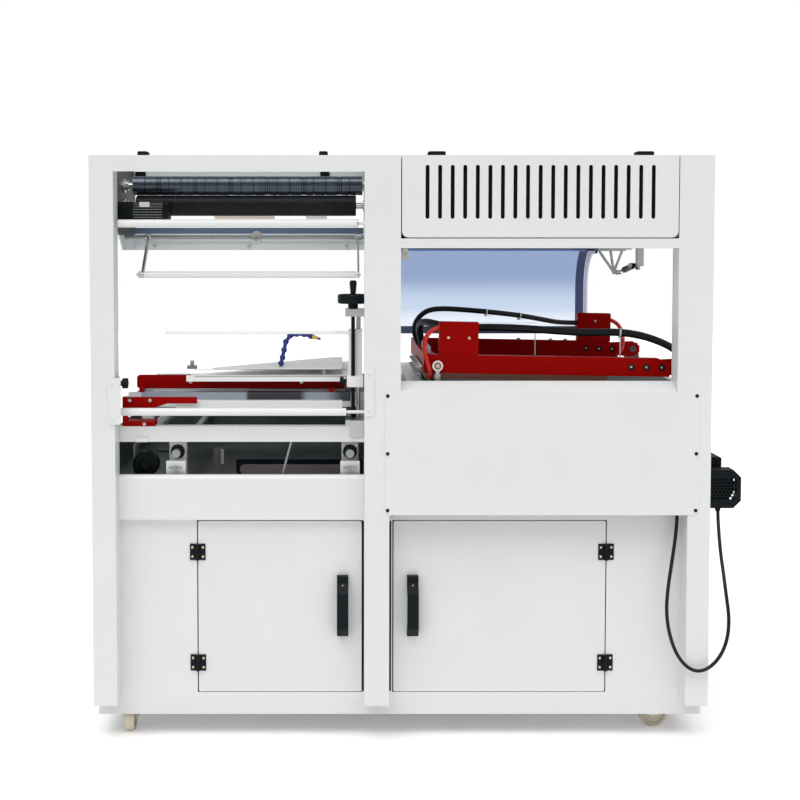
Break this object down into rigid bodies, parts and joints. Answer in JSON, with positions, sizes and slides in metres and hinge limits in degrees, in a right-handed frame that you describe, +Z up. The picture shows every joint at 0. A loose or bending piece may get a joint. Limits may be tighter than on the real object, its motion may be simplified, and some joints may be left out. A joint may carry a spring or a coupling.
{
  "type": "shrink wrapping machine",
  "caption": "Side-seal shrink film wrapping machine: steel cabinet on castors with film tower, infeed belt, swinging red sealing jaw, tinted hood and discharge belt",
  "frame": {"origin": "on the floor, under the centre of the bounding box without the hanging lead and hoses", "axes": "+Z up, +X along the product flow from infeed to discharge, the service side with the doors faces -Y"},
  "size_m": [1.687, 0.8522, 1.506],
  "materials": {
    "white_paint": "satin off-white stoved paint",
    "red_paint": "gloss dark red paint",
    "grey_paint": "satin grey paint",
    "dark_steel": "blackened steel",
    "steel": "ground steel",
    "zinc": "bright zinc plate",
    "chrome_rod": "polished chrome",
    "alloy": "machined aluminium",
    "black_rubber": "matt rubber",
    "belt": "smooth dark green-grey belt",
    "tyre_cream": "cream polyamide wheel",
    "black_plastic": "fine-grained black plastic",
    "blue_plastic": "blue jointed plastic",
    "red_plastic": "smooth red plastic",
    "red_tube": "glossy red air tube",
    "hose": "black corrugated conduit",
    "tint": "tinted acrylic sheet",
    "seal_strip": "heat-tanned steel and glass cloth"
  },
  "bodies": {
    "machine": {"frame": "white_paint", "cabinet": "white_paint", "cover_panels": "white_paint", "skirt": "white_paint", "upper_cabinet": "white_paint", "vent_panel": "white_paint", "hinge_leaves": "black_plastic", "castor_plates": "zinc", "tower_frame": "grey_paint", "film_motor": "alloy", "guide_rods": "chrome_rod", "post_plates": "white_paint", "height_column": "alloy", "infeed_frame": "grey_paint", "infeed_rails": "red_paint", "infeed_belt": "belt", "discharge_belt": "belt", "lower_jaw": "dark_steel", "drive_motor": "grey_paint", "hood_brackets": "zinc", "motor_lead": "black_plastic"},
    "left_door": {"left_door": "white_paint", "left_door_fittings": "black_plastic"},
    "right_door": {"right_door": "white_paint", "right_door_fittings": "black_plastic"},
    "jaw": {"jaw_frame": "red_paint", "sealing_bar": "seal_strip", "hose_upper": "hose", "hose_lower": "hose", "red_tube_near": "red_tube", "red_tube_far": "red_tube"},
    "carriage": {"folding_carriage": "white_paint", "air_nozzle": "blue_plastic"},
    "left_lock": {"left_lock": "chrome_rod"},
    "right_lock": {"right_lock": "chrome_rod"},
    "near_left_fork": {"near_left_fork": "zinc"},
    "near_right_fork": {"near_right_fork": "zinc"},
    "near_left_wheel": {"near_left_wheel": "tyre_cream"},
    "near_right_wheel": {"near_right_wheel": "tyre_cream"},
    "far_left_wheel": {"far_left_wheel": "tyre_cream"},
    "far_right_wheel": {"far_right_wheel": "tyre_cream"},
    "feed_roller": {"feed_roller": "black_rubber"},
    "perforating_roller": {"perforating_roller": "black_rubber"},
    "upper_guide_roller": {"upper_guide_roller": "alloy"},
    "lower_guide_roller": {"lower_guide_roller": "alloy"},
    "dancer_arms": {"dancer_arms": "steel"},
    "dancer_roller": {"dancer_roller": "steel"},
    "handwheel": {"handwheel": "steel"},
    "crank_grip": {"crank_grip": "black_plastic"},
    "column_knob": {"column_knob": "black_plastic"},
    "left_knob": {"left_knob": "black_plastic"},
    "infeed_head_roller": {"infeed_head_roller": "alloy"},
    "infeed_tail_roller": {"infeed_tail_roller": "alloy"},
    "discharge_head_roller": {"discharge_head_roller": "alloy"},
    "discharge_tail_roller": {"discharge_tail_roller": "alloy"},
    "lift_rods": {"lift_rods": "zinc"},
    "hood": {"hood": "tint"},
    "spring_cylinder": {"spring_cylinder": "dark_steel"},
    "spring_rod": {"spring_rod": "chrome_rod"},
    "estop_button": {"estop_button": "red_plastic"}
  },
  "joints": [
    {"name": "left_door_hinge", "type": "hinge", "parent": "machine", "child": "left_door", "pos_m": [-0.584, -0.3635, 0.345], "axis": [0, 0, -1], "range_deg": [0, 110]},
    {"name": "right_door_hinge", "type": "hinge", "parent": "machine", "child": "right_door", "pos_m": [0.467, -0.3635, 0.345], "axis": [0, 0, 1], "range_deg": [0, 110]},
    {"name": "left_lock_turn", "type": "hinge", "parent": "left_door", "child": "left_lock", "pos_m": [-0.211, -0.37, 0.397], "axis": [0, 1, 0], "range_deg": [0, 90]},
    {"name": "right_lock_turn", "type": "hinge", "parent": "right_door", "child": "right_lock", "pos_m": [-0.031, -0.37, 0.397], "axis": [0, 1, 0], "range_deg": [0, 90]},
    {"name": "near_left_swivel", "type": "hinge", "parent": "machine", "child": "near_left_fork", "pos_m": [-0.7675, -0.282, 0.096], "axis": [0, 0, 1], "continuous": true},
    {"name": "near_left_roll", "type": "hinge", "parent": "near_left_fork", "child": "near_left_wheel", "pos_m": [-0.7675, -0.312, 0.0375], "axis": [1, 0, 0], "continuous": true},
    {"name": "near_right_swivel", "type": "hinge", "parent": "machine", "child": "near_right_fork", "pos_m": [0.6405, -0.282, 0.096], "axis": [0, 0, 1], "continuous": true},
    {"name": "near_right_roll", "type": "hinge", "parent": "near_right_fork", "child": "near_right_wheel", "pos_m": [0.6105, -0.282, 0.0375], "axis": [0, 1, 0], "continuous": true},
    {"name": "far_left_roll", "type": "hinge", "parent": "machine", "child": "far_left_wheel", "pos_m": [-0.7675, 0.34, 0.0375], "axis": [0, 1, 0], "continuous": true},
    {"name": "far_right_roll", "type": "hinge", "parent": "machine", "child": "far_right_wheel", "pos_m": [0.6105, 0.34, 0.0375], "axis": [0, 1, 0], "continuous": true},
    {"name": "feed_roller_spin", "type": "hinge", "parent": "machine", "child": "feed_roller", "pos_m": [-0.47, -0.245, 1.3757], "axis": [1, 0, 0], "continuous": true},
    {"name": "perforating_spin", "type": "hinge", "parent": "machine", "child": "perforating_roller", "pos_m": [-0.47, -0.245, 1.428], "axis": [1, 0, 0], "continuous": true},
    {"name": "upper_guide_spin", "type": "hinge", "parent": "machine", "child": "upper_guide_roller", "pos_m": [-0.47, -0.385, 1.326], "axis": [1, 0, 0], "continuous": true},
    {"name": "lower_guide_spin", "type": "hinge", "parent": "machine", "child": "lower_guide_roller", "pos_m": [-0.47, -0.379, 0.848], "axis": [1, 0, 0], "continuous": true},
    {"name": "dancer_swing", "type": "hinge", "parent": "machine", "child": "dancer_arms", "pos_m": [-0.45, -0.235, 1.293], "axis": [1, 0, 0], "range_deg": [-30, 0]},
    {"name": "dancer_roller_spin", "type": "hinge", "parent": "dancer_arms", "child": "dancer_roller", "pos_m": [-0.45, -0.337, 1.196], "axis": [1, 0, 0], "continuous": true},
    {"name": "carriage_lift", "type": "slide", "parent": "machine", "child": "carriage", "axis": [0, 0, 1], "range_m": [0, 0.03]},
    {"name": "handwheel_turn", "type": "hinge", "parent": "machine", "child": "handwheel", "pos_m": [-0.184, -0.311, 1.13], "axis": [0, 0, 1], "range_deg": [0, 2160]},
    {"name": "crank_grip_spin", "type": "hinge", "parent": "handwheel", "child": "crank_grip", "pos_m": [-0.184, -0.335, 1.15], "axis": [0, 0, 1], "continuous": true},
    {"name": "column_knob_turn", "type": "hinge", "parent": "carriage", "child": "column_knob", "pos_m": [-0.204, -0.309, 0.919], "axis": [1, 0, 0], "range_deg": [-360, 360]},
    {"name": "left_knob_turn", "type": "hinge", "parent": "machine", "child": "left_knob", "pos_m": [-0.77, -0.389, 0.922], "axis": [1, 0, 0], "range_deg": [-360, 360]},
    {"name": "infeed_head_spin", "type": "hinge", "parent": "machine", "child": "infeed_head_roller", "pos_m": [-0.06, 0, 0.8625], "axis": [0, 1, 0], "continuous": true},
    {"name": "infeed_tail_spin", "type": "hinge", "parent": "machine", "child": "infeed_tail_roller", "pos_m": [-0.75, 0, 0.8625], "axis": [0, 1, 0], "continuous": true},
    {"name": "discharge_head_spin", "type": "hinge", "parent": "machine", "child": "discharge_head_roller", "pos_m": [0.662, 0, 0.8895], "axis": [0, 1, 0], "continuous": true},
    {"name": "discharge_tail_spin", "type": "hinge", "parent": "machine", "child": "discharge_tail_roller", "pos_m": [0.06, 0, 0.8895], "axis": [0, 1, 0], "continuous": true},
    {"name": "jaw_swing", "type": "hinge", "parent": "machine", "child": "jaw", "pos_m": [0.69, 0, 0.952], "axis": [0, 1, 0], "range_deg": [-1, 10]},
    {"name": "lift_rod_pivot", "type": "hinge", "parent": "jaw", "child": "lift_rods", "pos_m": [0.03503, 0, 0.95943], "axis": [0, 1, 0], "range_deg": [-10, 1]},
    {"name": "hood_hinge", "type": "hinge", "parent": "machine", "child": "hood", "pos_m": [0.24, 0.201, 1.266], "axis": [1, 0, 0], "range_deg": [0, 50]},
    {"name": "spring_pivot", "type": "hinge", "parent": "machine", "child": "spring_cylinder", "pos_m": [0.616, 0.005, 1.215], "axis": [1, 0, 0], "range_deg": [0, 3.54]},
    {"name": "spring_slide", "type": "slide", "parent": "spring_cylinder", "child": "spring_rod", "axis": [0, 0.9917, -0.1283], "range_m": [0, 0.06442]},
    {"name": "estop_press", "type": "slide", "parent": "machine", "child": "estop_button", "axis": [0, -1, 0], "range_m": [0, 0.004], "stiffness_N_per_m": 900}
  ],
  "couplings": [
    {"joint": "perforating_spin", "follows": "feed_roller_spin", "ratio": -1.08},
    {"joint": "infeed_tail_spin", "follows": "infeed_head_spin", "ratio": 1},
    {"joint": "discharge_tail_spin", "follows": "discharge_head_spin", "ratio": 1},
    {"joint": "lift_rod_pivot", "follows": "jaw_swing", "ratio": -1},
    {"joint": "spring_pivot", "follows": "hood_hinge", "ratio": 0.07042},
    {"joint": "spring_slide", "follows": "hood_hinge", "m_per_rad": 0.07371},
    {"joint": "handwheel_turn", "follows": "carriage_lift", "rad_per_m": 1256.6}
  ]
}
